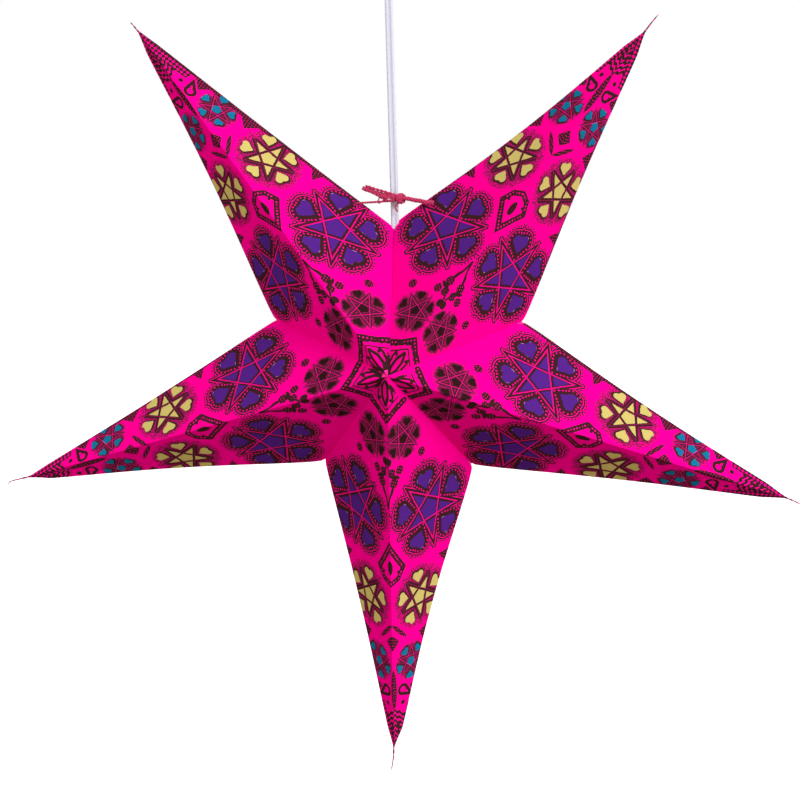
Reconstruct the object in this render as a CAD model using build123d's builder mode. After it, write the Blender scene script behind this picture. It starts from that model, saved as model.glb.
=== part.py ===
"""Five-point folded card star that hangs on its lamp lead, with the lamp inside it."""
import os
from math import radians, sin, tan

from build123d import *

# Star, all lengths in millimetres
star_span = 600.0  # left tip to right tip
star_depth = 182.0  # front centre to back centre
inner_corner_share = 0.316  # inner corner's distance from the centre, of the tip's
seam_angle = 4.0  # opening left between the two top arms, in degrees
lean_angle = 1.3  # the star hangs this much off the plumb line, in degrees
card = 0.3
ridge_taper = 1.8  # the card thins this slowly towards a ridge, in degrees
edge_taper = 45.0  # and this fast towards its other two creases, in degrees
back_gap = 7.6  # between the two panels of a back ridge, at the centre

# Glued flaps inside the star
flap_width = 12.0
flap_corner_gap = 5.0
flap_centre_gap = 50.0
flap_slant = 7.0
closing_flap_width = 10.0
closing_flap_tip_gap = 86.0
seam_flap_reach = 8.0
seam_flap_corner_gap = 18.0
edge_clearance = 0.6

# Cotton tie
string_width = 1.6
bundle_width = 2.8  # several strands together, right of the knot and in its tail
string_hole = 5.0
string_hole_setback = 34.0  # from the inner corner, along the outer edge
string_hole_inset = 3.8  # from the outer edge
string_front = 5.4  # the strings cross this far in front of the lead's middle
string_inside = 2.6
string_bend = 2.6
knot_width = 6.6
knot_height = 6.8
knot_round = 2.4
knot_side = 5.6  # from the lead's middle to the knot's
knot_above_holes = 4.0
tail_rise = 8.6
tail_reach = 26.0
tail_bend_share = 0.55
tail_bend_rise_share = 0.42
tail_start_rise = 1.2
running_gap = 0.3

# Lamp lead, a flat pair
lead_width = 6.2
lead_thickness = 2.8
lead_web = 1.4

# Lampholder
ceiling_drop = 330.0
holder_below_corner = 24.0
holder_length = 46.0
holder_radius = 14.0
holder_wall = 1.8
cap_length = 17.0
cap_neck_radius = 5.6
cap_neck_length = 6.0
cap_shoulder = 1.5
cap_round = 6.0
cap_top_wall = 2.2
grip_rib_count = 20
grip_rib_radius = 0.8
block_thickness = 6.0
shell_wall = 0.6

# Screw-in bulb
bulb_radius = 17.5
bulb_wall = 0.8
bulb_neck_angle = 48.0
bulb_collar_radius = 9.0
bulb_collar_length = 5.0
bulb_neck_length = 12.0
thread_radius = 6.6
thread_length = 18.0
contact_radius = 2.4
contact_length = 2.0

# Ceiling rose
rose_radius = 38.0
rose_height = 26.0
rose_wall = 2.0
rose_round = 9.0
rose_base_thickness = 4.0
rose_screw_spacing = 50.0
rose_screw_hole = 4.5
cord_grip_radius = 6.5
cord_grip_length = 9.0
cord_grip_tip_radius = 5.0
cord_grip_flange_radius = 10.5
cord_grip_flange = 2.5
terminal_width = 22.0
terminal_depth = 12.0
terminal_height = 9.0
terminal_round = 1.5

# Sizes that follow from the ones above
arm_count = 5
arm_step = (360 - seam_angle) / arm_count
tip_radius = star_span / (2 * sin(radians(arm_step)))
inner_radius = inner_corner_share * tip_radius
half_depth = star_depth / 2
centre = Vector(-inner_radius * sin(radians(lean_angle)), 0, -ceiling_drop)
corner_height = -ceiling_drop + inner_radius
holder_top = corner_height - holder_below_corner
holder_bottom = holder_top - holder_length
sleeve_top = holder_top - cap_length
lead_pitch = lead_width - lead_thickness
rose_bottom = -rose_height
grip_bottom = rose_bottom - cord_grip_flange - cord_grip_length
arms = {"bottom": 0, "right": 1, "top_right": 2, "left": -1, "top_left": -2}
seam_side = {"top_right": 1, "top_left": -1}


def keep(name, solid):
    """Label a finished piece and write it to its own file."""
    solid.label = name
    export_step(solid, f"parts/{name}.step")


def outward(angle):
    """Direction in the star's middle plane, turned from straight down towards the right."""
    turned = radians(angle - lean_angle)
    return Vector(sin(turned), 0, -sin(radians(90) - turned))


def corners(arm, side, face):
    """Tip, centre and inner corner of a panel; side is 1 or -1, face is -1 in front, 1 behind."""
    tip = centre + outward(arm * arm_step) * tip_radius
    middle = centre + Vector(0, face * half_depth, 0)
    corner = centre + outward((arm + side / 2) * arm_step) * inner_radius
    return tip, middle, corner


def panel_plane(arm, side, face):
    """Plane of a panel's outside: origin at the tip, x down the ridge, z into the star."""
    tip, middle, corner = corners(arm, side, face)
    ridge = middle - tip
    inward = ridge.cross(corner - tip).normalized()
    if inward.Y * face > 0:
        inward = inward * -1
    return Plane(origin=tip, x_dir=ridge, z_dir=inward)


def flat_corners(arm, side, face):
    """Tip, centre and inner corner of a panel in its own plane."""
    plane = panel_plane(arm, side, face)
    return [plane.to_local_coords(point) for point in corners(arm, side, face)]


def panel_name(arm_name, side, face):
    """Name of a panel, by its arm, its face and its side."""
    if arm_name == "bottom":
        half = "right" if side > 0 else "left"
    else:
        half = "upper" if side * arms[arm_name] > 0 else "lower"
    return f"{arm_name}_{'front' if face < 0 else 'back'}_{half}"


def inset_corner(corner, first, second, from_first, from_second):
    """Point inside a corner at set distances from its edges to the first and second points."""
    one = (first - corner).normalized()
    two = (second - corner).normalized()
    spread = sin(radians(one.get_angle(two)))
    return corner + one * (from_second / spread) + two * (from_first / spread)


def edge_frame(corner, far_end, inside):
    """Directions along an edge from its corner, and across it towards a point inside."""
    along = (far_end - corner).normalized()
    across = (inside - corner) - along * (inside - corner).dot(along)
    return along, across.normalized()


def flat_points(points):
    """Points as pairs, for an outline in the sketch's plane."""
    return [(point.X, point.Y) for point in points]


def string_hole_spot(arm_name, face):
    """Middle of the string's hole in a seam panel, in the panel's own plane."""
    arm = arms[arm_name]
    tip, middle, corner = flat_corners(arm, seam_side[arm_name], face)
    along, across = edge_frame(corner, tip, middle)
    return corner + along * string_hole_setback + across * string_hole_inset


def make_panel(arm_name, side, face):
    """Card triangle, full size outside and tapered inside so that the star can fold shut."""
    plane = panel_plane(arms[arm_name], side, face)
    tip, middle, corner = flat_corners(arms[arm_name], side, face)
    if face > 0:
        valley = (corner - middle).normalized()
        middle = middle + valley * (back_gap / 2 / sin(radians(valley.get_angle(tip - middle))))
    from_ridge = card / tan(radians(ridge_taper))
    from_edge = card / tan(radians(edge_taper))
    inside = [
        inset_corner(tip, middle, corner, from_ridge, from_edge),
        inset_corner(middle, tip, corner, from_ridge, from_edge),
        inset_corner(corner, tip, middle, from_edge, from_edge),
    ]
    with BuildPart() as panel:
        with BuildSketch(plane):
            Polygon(*flat_points([tip, middle, corner]), align=None)
        with BuildSketch(plane.offset(card)):
            Polygon(*flat_points(inside), align=None)
        loft(ruled=True)
        if seam_side.get(arm_name) == side:
            spot = plane.from_local_coords(string_hole_spot(arm_name, face))
            with Locations(Plane(origin=spot, x_dir=plane.x_dir, z_dir=plane.z_dir)):
                Hole(string_hole / 2)
    keep(panel_name(arm_name, side, face), panel.part)


def make_flap(name, place, far_end, span, reach):
    """Card strip on the inside of a panel, along the edge from its inner corner."""
    plane = panel_plane(*place)
    tip, middle, corner = flat_corners(*place)
    end, inside = (tip, middle) if far_end == "tip" else (middle, tip)
    along, across = edge_frame(corner, end, inside)
    start, stop = span[0], (end - corner).length - span[1]
    outline = [
        corner + along * start + across * reach[0],
        corner + along * stop + across * reach[0],
        corner + along * (stop - flap_slant) + across * reach[1],
        corner + along * (start + flap_slant) + across * reach[1],
    ]
    with BuildPart() as flap:
        with BuildSketch(plane.offset(card)):
            Polygon(*flat_points(outline), align=None)
        extrude(amount=card)
    keep(name, flap.part)


def make_string(name, points, bend, width):
    """Round cotton string along straight runs with rounded turns."""
    with BuildPart() as string:
        with BuildLine() as route:
            FilletPolyline(*points, radius=bend)
        with BuildSketch(Plane(origin=route.line @ 0, z_dir=route.line % 0)):
            Circle(width / 2)
        sweep()
    length = sum(edge.length for edge in route.edges())
    print(name, "length", round(length, 1), "volume", round(string.part.volume, 1))
    keep(name, string.part)


os.makedirs("parts", exist_ok=True)

# Twenty panels, four to an arm
for arm_name in arms:
    for side in (-1, 1):
        for face in (-1, 1):
            make_panel(arm_name, side, face)

# Flaps that join one arm to the next, close each arm, and cover the open seam
for arm_name, arm in arms.items():
    lower = -1 if arm > 0 else 1
    if arm:
        for face, where in ((-1, "front"), (1, "back")):
            make_flap(
                f"{arm_name}_{where}_join_flap",
                (arm, lower, face),
                "centre",
                (flap_corner_gap, flap_centre_gap),
                (edge_clearance, flap_width),
            )
    make_flap(
        f"{arm_name}_closing_flap",
        (arm, lower, 1),
        "tip",
        (flap_corner_gap, closing_flap_tip_gap),
        (edge_clearance, closing_flap_width),
    )
for face, where in ((-1, "front"), (1, "back")):
    make_flap(
        f"seam_{where}_flap",
        (arms["top_left"], seam_side["top_left"], face),
        "centre",
        (seam_flap_corner_gap, flap_centre_gap),
        (flap_width, -seam_flap_reach),
    )

# Cotton strings through the seam panels, and the knot that holds the seam round the lead
left_hole, right_hole = (
    panel_plane(arms[arm_name], seam_side[arm_name], -1).from_local_coords(
        string_hole_spot(arm_name, -1)
    )
    for arm_name in ("top_left", "top_right")
)
knot_level = (left_hole.Z + right_hole.Z) / 2 + knot_above_holes
knot_left = knot_side - knot_width / 2
knot_right = knot_side + knot_width / 2
make_string(
    "tie_string_left",
    [
        (left_hole.X, left_hole.Y + string_inside, left_hole.Z),
        (left_hole.X, -string_front, left_hole.Z),
        (knot_left - running_gap, -string_front, knot_level - string_width),
    ],
    string_bend,
    string_width,
)
make_string(
    "tie_string_right",
    [
        (knot_right + running_gap, -string_front, knot_level),
        (right_hole.X, -string_front, right_hole.Z),
        (right_hole.X, right_hole.Y + string_inside, right_hole.Z),
    ],
    string_bend,
    bundle_width,
)
make_string(
    "tie_tail",
    [
        (knot_left - running_gap, -string_front, knot_level + tail_start_rise),
        (
            knot_left - tail_reach * tail_bend_share,
            -string_front,
            knot_level + tail_rise * tail_bend_rise_share,
        ),
        (knot_left - tail_reach, -string_front, knot_level + tail_rise),
    ],
    tail_reach / 2,
    bundle_width,
)
with BuildPart() as tie_knot:
    with BuildSketch(Plane(origin=(knot_side, -string_front, knot_level), z_dir=(1, 0, 0))):
        Circle(knot_height / 2)
    extrude(amount=knot_width / 2, both=True)
    fillet(tie_knot.edges().filter_by(GeomType.CIRCLE), knot_round)
keep("tie_knot", tie_knot.part)

# Lead: two round cores side by side with a web between them
with BuildPart() as lead:
    with BuildSketch(Plane.XY.offset(holder_top)):
        with Locations((lead_pitch / 2, 0), (-lead_pitch / 2, 0)):
            Circle(lead_thickness / 2)
        Rectangle(lead_pitch, lead_web)
    extrude(amount=grip_bottom - holder_top)
keep("lead", lead.part)

# Lampholder cap: a rounded dome with a neck, hollow below
with BuildPart() as holder_cap:
    with BuildSketch(Plane.XZ):
        with BuildLine():
            Polyline(
                (0, holder_top),
                (cap_neck_radius, holder_top),
                (cap_neck_radius, holder_top - cap_neck_length),
                (holder_radius, holder_top - cap_neck_length - cap_shoulder),
                (holder_radius, sleeve_top),
                (0, sleeve_top),
                close=True,
            )
        make_face()
    revolve(axis=Axis.Z)
    fillet(holder_cap.edges().filter_by(GeomType.CIRCLE).group_by(Axis.Z)[1], cap_round)
    with BuildSketch(Plane.XY.offset(sleeve_top)):
        Circle(holder_radius - holder_wall)
    extrude(
        amount=cap_length - cap_neck_length - cap_shoulder - cap_round + cap_top_wall,
        mode=Mode.SUBTRACT,
    )
keep("holder_cap", holder_cap.part)

# Lampholder sleeve with grip ribs down its side
with BuildPart() as holder_sleeve:
    with BuildSketch(Plane.XY.offset(holder_bottom)):
        Circle(holder_radius)
        with PolarLocations(holder_radius, grip_rib_count):
            Circle(grip_rib_radius)
    extrude(amount=sleeve_top - holder_bottom)
    with BuildSketch(Plane.XY.offset(holder_bottom)):
        Circle(holder_radius - holder_wall)
    extrude(amount=sleeve_top - holder_bottom, mode=Mode.SUBTRACT)
keep("holder_sleeve", holder_sleeve.part)

# What the sleeve holds: the contact block, the screw shell and the centre contact
block_bottom = sleeve_top - block_thickness
with BuildPart() as contact_block:
    with BuildSketch(Plane.XY.offset(block_bottom)):
        Circle(holder_radius - holder_wall - running_gap)
    extrude(amount=block_thickness)
keep("contact_block", contact_block.part)

shell_radius = thread_radius + running_gap
with BuildPart() as screw_shell:
    with BuildSketch(Plane.XY.offset(holder_bottom)):
        Circle(shell_radius + shell_wall)
        Circle(shell_radius, mode=Mode.SUBTRACT)
    extrude(amount=block_bottom - holder_bottom)
keep("screw_shell", screw_shell.part)

tip_top = holder_bottom - running_gap + thread_length + contact_length
with BuildPart() as centre_contact:
    with BuildSketch(Plane.XY.offset(tip_top + running_gap)):
        Circle(contact_radius)
    extrude(amount=block_bottom - tip_top - running_gap)
keep("centre_contact", centre_contact.part)

# Bulb: threaded metal cap with its contact, and an opal globe
globe_top = holder_bottom - running_gap
with BuildPart() as bulb_cap:
    with BuildSketch(Plane.XY.offset(globe_top)):
        Circle(thread_radius)
    extrude(amount=thread_length)
keep("bulb_cap", bulb_cap.part)

with BuildPart() as bulb_contact:
    with BuildSketch(Plane.XY.offset(globe_top + thread_length)):
        Circle(contact_radius)
    extrude(amount=contact_length)
keep("bulb_contact", bulb_contact.part)

neck_top = globe_top - bulb_collar_length
shoulder_x = bulb_radius * sin(radians(90 - bulb_neck_angle))
shoulder_rise = bulb_radius * sin(radians(bulb_neck_angle))
globe_middle = neck_top - bulb_neck_length - shoulder_rise
with BuildPart() as bulb_globe:
    with BuildSketch(Plane.XZ):
        with BuildLine():
            globe = ThreePointArc(
                (0, globe_middle - bulb_radius),
                (bulb_radius, globe_middle),
                (shoulder_x, globe_middle + shoulder_rise),
            )
            Spline(
                globe @ 1,
                (bulb_collar_radius, neck_top),
                tangents=(globe % 1, (0, 1)),
            )
            Polyline(
                (bulb_collar_radius, neck_top),
                (bulb_collar_radius, globe_top),
                (0, globe_top),
                (0, globe_middle - bulb_radius),
            )
        make_face()
    revolve(axis=Axis.Z)
    offset(amount=-bulb_wall, openings=bulb_globe.faces().sort_by(Axis.Z)[-1])
keep("bulb_globe", bulb_globe.part)

# Ceiling rose: base plate, cover, cord grip and the terminal block under the base
with BuildPart() as rose_base:
    with BuildSketch(Plane.XY):
        Circle(rose_radius - rose_wall - running_gap)
        with GridLocations(rose_screw_spacing, 0, 2, 1):
            Circle(rose_screw_hole / 2, mode=Mode.SUBTRACT)
    extrude(amount=-rose_base_thickness)
keep("rose_base", rose_base.part)

with BuildPart() as rose_cover:
    with BuildSketch(Plane.XY):
        Circle(rose_radius)
    extrude(amount=-rose_height)
    fillet(rose_cover.edges().group_by(Axis.Z)[0], rose_round)
    offset(amount=-rose_wall, openings=rose_cover.faces().sort_by(Axis.Z)[-1])
    with Locations((0, 0, rose_bottom)):
        Hole(cord_grip_radius + running_gap)
keep("rose_cover", rose_cover.part)

with BuildPart() as cord_grip:
    with BuildSketch(Plane.XZ):
        with BuildLine():
            Polyline(
                (0, rose_bottom + rose_wall),
                (cord_grip_radius, rose_bottom + rose_wall),
                (cord_grip_radius, rose_bottom),
                (cord_grip_flange_radius, rose_bottom),
                (cord_grip_flange_radius, rose_bottom - cord_grip_flange),
                (cord_grip_radius, rose_bottom - cord_grip_flange),
                (cord_grip_tip_radius, grip_bottom),
                (0, grip_bottom),
                close=True,
            )
        make_face()
    revolve(axis=Axis.Z)
keep("cord_grip", cord_grip.part)

with BuildPart() as terminal_block:
    with BuildSketch(Plane.XY.offset(-rose_base_thickness)):
        RectangleRounded(terminal_width, terminal_depth, terminal_round)
    extrude(amount=-terminal_height)
keep("terminal_block", terminal_block.part)
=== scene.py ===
"""Folding paper star lantern: printed card panels, cotton tie, lamp lead, lampholder and ceiling rose."""
import math

import bmesh
import bpy
import numpy as np
from bpy.props import FloatProperty, FloatVectorProperty, IntProperty, PointerProperty
from mathutils import Matrix, Vector


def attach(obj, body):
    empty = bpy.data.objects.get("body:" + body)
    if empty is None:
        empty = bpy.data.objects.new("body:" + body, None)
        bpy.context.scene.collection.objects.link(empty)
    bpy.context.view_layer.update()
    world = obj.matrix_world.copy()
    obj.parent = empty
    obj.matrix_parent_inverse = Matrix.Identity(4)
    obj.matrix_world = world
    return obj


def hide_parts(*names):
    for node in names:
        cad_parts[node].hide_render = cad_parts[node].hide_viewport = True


bl_info = {
    "name": "Paper star lantern",
    "version": (1, 0, 0),
    "blender": (4, 5, 0),
    "location": "3D View > Sidebar > Paper star",
    "description": "Builds a folded paper star lantern with its printed card, tie, lead and lamp",
    "category": "Object",
}

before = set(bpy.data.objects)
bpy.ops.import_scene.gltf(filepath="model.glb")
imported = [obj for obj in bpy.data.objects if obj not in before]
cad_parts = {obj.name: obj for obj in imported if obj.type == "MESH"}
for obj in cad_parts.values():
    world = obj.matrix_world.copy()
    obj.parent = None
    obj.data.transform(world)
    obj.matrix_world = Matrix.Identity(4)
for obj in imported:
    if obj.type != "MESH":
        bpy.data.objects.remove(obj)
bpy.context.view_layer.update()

# The star's folds, in metres, in the frame of the CAD model
SPAN = 0.6
DEPTH = 0.182
CORNER_SHARE = 0.316
LEAN = math.radians(1.3)
SEAM_OPENING = 4
STEP = math.radians((360 - SEAM_OPENING) / 5)
TIP_RADIUS = SPAN / (2 * math.sin(STEP))
CORNER_RADIUS = CORNER_SHARE * TIP_RADIUS
CENTRE = np.array([-CORNER_RADIUS * math.sin(LEAN), 0.0, -0.33])
ARMS = {"bottom": 0, "right": 1, "top_right": 2, "left": -1, "top_left": -2}

# One panel laid flat, in metres: its ridge from the tip, and its inner corner along the ridge and out from it
RIDGE = math.hypot(TIP_RADIUS, DEPTH / 2)
CORNER_RUN = (TIP_RADIUS - CORNER_RADIUS * math.cos(STEP / 2)) * TIP_RADIUS / RIDGE
OUTER_EDGE = math.hypot(TIP_RADIUS - CORNER_RADIUS * math.cos(STEP / 2), CORNER_RADIUS * math.sin(STEP / 2))
CORNER_RISE = math.sqrt(OUTER_EDGE**2 - CORNER_RUN**2)
EDGE_TURN = math.atan2(CORNER_RISE, CORNER_RUN)

# How far the real card's folds stand from the even star, in metres (x, z)
TIP_SHIFT = {
    "top_left": (-0.0052, 0.0005),
    "top_right": (-0.0049, -0.0024),
    "right": (0.0014, -0.0025),
    "bottom": (-0.0040, -0.0005),
    "left": (0.0011, 0.00085),
}
CORNER_SHIFT = {
    -5: (0.0013, 0.0003),
    -3: (0.0023, -0.0006),
    -1: (0.0018, 0.0005),
    1: (-0.0002, -0.0004),
    3: (0.0009, 0.0002),
    5: (-0.0016, 0.0041),
}
FRONT_SHIFT = (0.00565, 0.0007)

# How far each half arm's outer edge lies in from straight, by its ends and by its middle, in metres
EDGE_BENDS = {
    (0, -1): (-0.0026, 0.0034),
    (0, 1): (-0.0070, 0.0080),
    (1, -1): (-0.0037, 0.0037),
    (1, 1): (-0.0033, 0.0045),
    (2, -1): (-0.0041, 0.0044),
    (2, 1): (-0.0035, 0.0062),
    (-1, -1): (-0.0013, 0.0020),
    (-1, 1): (-0.0055, 0.0057),
    (-2, -1): (-0.0015, 0.0014),
    (-2, 1): (-0.0040, 0.0053),
}

# How the two front edges at the seam bend sideways: shares of the way out from the centre, and metres; and
# how far the right one's outer end moves back and the left one's forward, in metres
SEAM_BENDS = {
    (-2, -1): ((0, 0.17, 0.37, 0.71, 0.87, 1), (0, 0.0015, 0.0021, 0.0023, 0.0020, 0.0013)),
    (2, 1): ((0, 0.17, 0.36, 0.7, 0.86, 0.95, 1), (0, 0.0005, 0.0001, -0.0014, -0.0024, -0.0021, -0.0008)),
}
SEAM_BACKWARD = 0.0006

# Low waves of a panel: height against the first, waves along and across it, and shares of its own start
SWELLS = ((1.0, 3.1, 0.0, 1), (0.5, 7.3, -4.1, 2), (0.3, 13.7, 6.3, 3))

# Where a panel begins, as a share of the way from the tip to the valley, so that its grid has no pole
TIP_START_SHARE = 0.004

# How fast the card thickens with the distance from its ridge, its outer edge and its valley
RIDGE_THINNING, EDGE_THINNING, VALLEY_THINNING = 0.032, 0.93, 0.6

# The string holes: along the outer edge from the inner corner, in from that edge, and their radius, in metres
HOLE_ALONG, HOLE_IN, HOLE_RADIUS = 0.034, 0.0026, 0.0014

# The thin ends, in metres: how far in from the tips they begin, half their thickness at the far end and how
# much more it is at the start, and the place along the ridge and out from it where their print is taken
THIN_END_OVERLAP = 0.012
THIN_END_HALF_THICKNESS, THIN_END_HALF_MORE = 0.0004, 0.0002
THIN_END_PRINT = (0.004, 0.0012)

# Thin ends that the card runs out into past each tip, from the tip, in metres (x, z)
WISPS = {
    "top_left": ((-0.0023, 0.0028), (-0.0044, 0.0052)),
    "top_right": ((0.0046, 0.0060), (0.0091, 0.0109)),
    "right": ((0.0050, -0.0022), (0.0100, -0.0050)),
    "bottom": ((-0.0008, -0.0095), (-0.0028, -0.0178)),
    "left": ((-0.0090, -0.0016), (-0.0153, -0.0033), (-0.0159, -0.0060)),
}

# Glued flaps, in metres: how far they keep from the inner corner and from the fold's other end, and how far
# in from the panel's edge their two sides lie; how much shorter the far side is at each end, how far a flap
# keeps from its panel, and how far its far side waves
JOIN_FLAP = ((0.005, 0.05), (0.0006, 0.012))
CLOSING_FLAP = ((0.005, 0.092), (0.0012, 0.01))
SEAM_FLAP = ((0.008, 0.05), (0.012, -0.008))
FLAP_SLANT = 0.007
FLAP_GAP = 0.0005
FLAP_WAVE = 0.0004
FLAP_GRID = (24, 6)

# Closing flaps lie nearer their panel than the others do towards the tip, where the folded arm is thin, and
# further in towards the inner corner: both in metres, and the shares of the way from the tip where the second
# begins and over which it grows
CLOSING_NEARER, CLOSING_LIFT, CLOSING_FROM_SHARE, CLOSING_OVER_SHARE = 0.0003, 0.0009, 0.38, 0.2

# How each arm's print lies on its front: its shift along the ridge and across it, in millimetres, at a set
# distance from the tip, and how much of each comes on with every millimetre of distance
PRINT_SLIPS = {
    0: (-3.05, 1.3, 0.0150, 0.0195),
    1: (1.45, 2.95, -0.0045, 0.0210),
    2: (1.45, -0.2, 0.0055, 0.0035),
    -1: (-2.45, -1.7, 0.0095, 0.0165),
    -2: (2.8, -1.25, -0.0255, 0.0125),
}
BACK_SLIP = (0.8, -0.6, 0.004, 0.006)
SLIP_MIDDLE = 0.18

# Rosettes of the print: middle in millimetres, turn in degrees, size against the largest, whether the points
# of its star are painted, and how far round it the print is its own, in millimetres
LARGEST_ROSETTE = ((208.2, 42.6, 0), -80, 1, 1)
SMALLER_ROSETTES = {
    "yellow": ((134.9, 30.7, 0), -75, 0.7, 1, 30.0),
    "teal": ((81, 19.1, 0), -100, 0.455, 0, 21.5),
    "dark": ((275.8, 17.8, 0), 90, 0.5, 0, 22.5),
}

# A heart of the largest rosette, in millimetres: its point from the rosette's middle, its lobes' middle along
# and across, and their radius; and how far the lines of the star pass from the middle
HEART_POINT, LOBE_ALONG, LOBE_ACROSS, LOBE_RADIUS = 18.2, 28.4, 3.9, 4.15
HEART_MIDDLE = 26.5
STAR_LINE = 9.0

# The print between the rosettes, in millimetres along the ridge from the tip and out from the ridge.
# A leaf has a middle, half length, half width and turn in degrees, a disc a middle and radius, a stroke its
# points and half width, and a chain, which has bare beads along its middle, also their radius and distance.
DOTTED_LEAVES = (((61, -0.5), 19, 3.7, 0), ((112, 8), 11, 1.9, -43))
DOTTED_DISCS = (((258.3, 36), 3.7), ((250.8, 13.2), 3.7), ((241.7, 7), 4.2), ((250.6, 5), 3.7))
CHAINS = (
    (((156, -2), (159, 8.5), (167.5, 14), (174, 9.5), (192, -2)), 2.5, 0.8, 2.9),
    (((306, 20), (301, 10), (292.5, -2)), 2.6, 0.72, 3.1),
)
INKED_LEAVES = (
    ((170.5, 0), 6, 3.2, 0),
    ((235.5, 5), 4.5, 1.5, 20),
    ((246, 9.5), 4, 1.5, -60),
    ((319.5, 7.4), 5.5, 1.7, -42),
)
INKED_DISCS = (
    ((46.5, 8.5), 1.9),
    ((260, 2), 3.4),
    ((165, 8.5), 1.3),
    ((181, 3.8), 1.2),
    ((314.5, 11), 0.9),
    ((21.5, 2.2), 1.7),
    ((27.5, 2.6), 1.5),
)
INKED_STROKES = (
    (((221, 0.2), (229, 1.8), (238, 5.5)), 1.0),
    (((244, 9), (247, 5), (256, 1)), 0.9),
    (((307.5, 17), (305, 14.5), (305.2, 12), (302, 10.5), (302.2, 7.8), (299.4, 6.3)), 0.8),
    (((299.4, 6.3), (299.8, 3.4), (297, -1)), 0.8),
    (((311, 14), (308, 9), (304.5, 4), (301.5, -1)), 0.6),
    (((326.5, 0.5), (320, 3.4), (312.5, 3.4), (306.5, 0.6)), 1.5),
    (((326, 2), (319, 7), (312.5, 8.6), (309, 8), (310.5, 5.8)), 1.2),
)
TEARDROP = ((49.5, 19.5), (58, 9.5), 5.1)
TEARDROP_INSET, TEARDROP_STROKE = 1.2, 1.35

# A dotted diamond at the ridge: its place along it, how much sooner it ends along than out, and its reach out
DIAMOND = (103.5, 1.05, 7.8)

# Dotted teeth along the outer edge, by place from the tip, depth and half width, and low wide teeth, by place
# and half width
EDGE_TEETH = ((61.0, 6.0, 5.5), (106.5, 9.5, 8.5), (171.0, 10.5, 5.5))
EDGE_WAVES = ((103.0, 17.0), (172.0, 25.0))
EDGE_WAVE_DEPTH = 1.0

# Specks of the dotted shapes: half the distance between them and their radius
SPECK_HALF_GAP, SPECK_RADIUS = 1.15, 0.4

# Routes of the cords, in metres
LEAD_ROUTE = [(0, 0, -0.253857), (0, 0, -0.1457), (0, 0, -0.0375)]
LEFT_STRING_ROUTE = [
    (-0.03118, -0.000314, -0.209977),
    (-0.03118, -0.0054, -0.209977),
    (0.002, -0.0054, -0.208295),
]
BUNDLE_ROUTE = [
    (0.032051, -0.000314, -0.211412),
    (0.032051, -0.0054, -0.211412),
    (0.0092, -0.0054, -0.206695),
    (0.002, -0.0054, -0.205495),
    (-0.012, -0.0054, -0.203083),
    (-0.0237, -0.0054, -0.198095),
]

# Yarns of the strands together and of the single string: how many, their radius and how far they spread, both
# as shares of the cord's diameter, and how often they wind
BUNDLE_YARNS = (4, 0.27, 0.36, 5)
STRING_YARNS = (2, 0.3, 0.3, 9)

# A yarn: points round it, the share by which its winding widens and narrows, how fast it swells from its
# ends, and the square of its radius at the very ends as a share of the full one
YARN_STEPS, YARN_UNEVENNESS, YARN_SWELLING, YARN_END = 8, 0.12, 60, 0.15

# The knot, in metres: its middle, and the radius, swelling, length and lean of the yarn wound round it
KNOT_MIDDLE = (0.0056, -0.0054, -0.2068)
KNOT_TURNS = 3.2
KNOT_RADIUS, KNOT_SWELLING, KNOT_LENGTH, KNOT_LEAN = 0.0021, 0.0007, 0.0042, 0.0011
KNOT_TALL_SHARE = 1.25
KNOT_YARN, KNOT_YARN_SPREAD = 0.00055, 0.00045

# Loose strands beside the tail, and last a drooping end below the knot, in metres: yarn radius and route
# (x, z), and where the points of each route lie from front to back (y)
LOOSE_STRANDS = (
    (0.00058, ((0.0035, -0.2050), (-0.005, -0.2017), (-0.013, -0.1994), (-0.0212, -0.1966))),
    (0.00062, ((0.0035, -0.2064), (-0.004, -0.2062), (-0.0115, -0.2046), (-0.0172, -0.2008))),
    (0.0005, ((0.0032, -0.2078), (-0.002, -0.2085), (-0.0075, -0.2072), (-0.0125, -0.2037))),
    (0.0003, ((-0.006, -0.2065), (-0.0105, -0.2105), (-0.0125, -0.2092), (-0.0105, -0.2056))),
    (0.00036, ((0.004, -0.2095), (0.0012, -0.212), (0.0016, -0.2146), (0.003, -0.2168))),
)
LOOSE_FRONT = (-0.0056, -0.0068, -0.0066, -0.0056)

# The camera, as it stood in front of the star: its place in metres, its view and its upward direction
CAMERA_PLACE = (0.20984, -1.55256, -0.08946)
CAMERA_VIEW = (-0.132127, 0.976183, -0.172073)
CAMERA_UP = (0.00599, 0.174378, 0.984661)

# The light from the upper right: its colour, the way it shines and its width as seen from the star
KEY_COLOUR = (1.0, 0.97, 1.08)
KEY_DIRECTION = (-0.60, 0.63, -0.49)
KEY_WIDTH = math.radians(28)

# The studio: tints of the light all round and of what the floor sends back up, the floor's two greys, how far
# it reaches each way in metres, and its glow, which only the camera sees
SKY_TINT = (1.0, 0.95, 0.92)
BOUNCE_TINT = (1.0, 0.8, 0.74)
FLOOR_GREY, FLOOR_PALE = (0.86, 0.86, 0.86), (0.9, 0.9, 0.9)
FLOOR_REACH = 14.0
FLOOR_GLOW = (0.3, 0.3, 0.3)


def screen(red, green, blue):
    """Linear colour from a screen colour, each from 0 to 255."""
    shares = np.array([red, green, blue]) / 255
    linear = np.where(shares <= 0.04045, shares / 12.92, ((shares + 0.055) / 1.055) ** 2.4)
    return tuple(float(x) for x in linear)


def shaded(colour, factor):
    """A colour made lighter or darker by a factor."""
    return tuple(min(1.0, c * factor) for c in colour)


def colour_property(name, description, default):
    """A colour that the panel shows, kept linear."""
    return FloatVectorProperty(
        name=name, description=description, subtype="COLOR", size=3, min=0, max=1, default=default
    )


def length_property(name, description, default):
    """A length in metres."""
    return FloatProperty(name=name, description=description, default=default, unit="LENGTH", precision=5)


# Sizes and colours that a user would change


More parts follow.
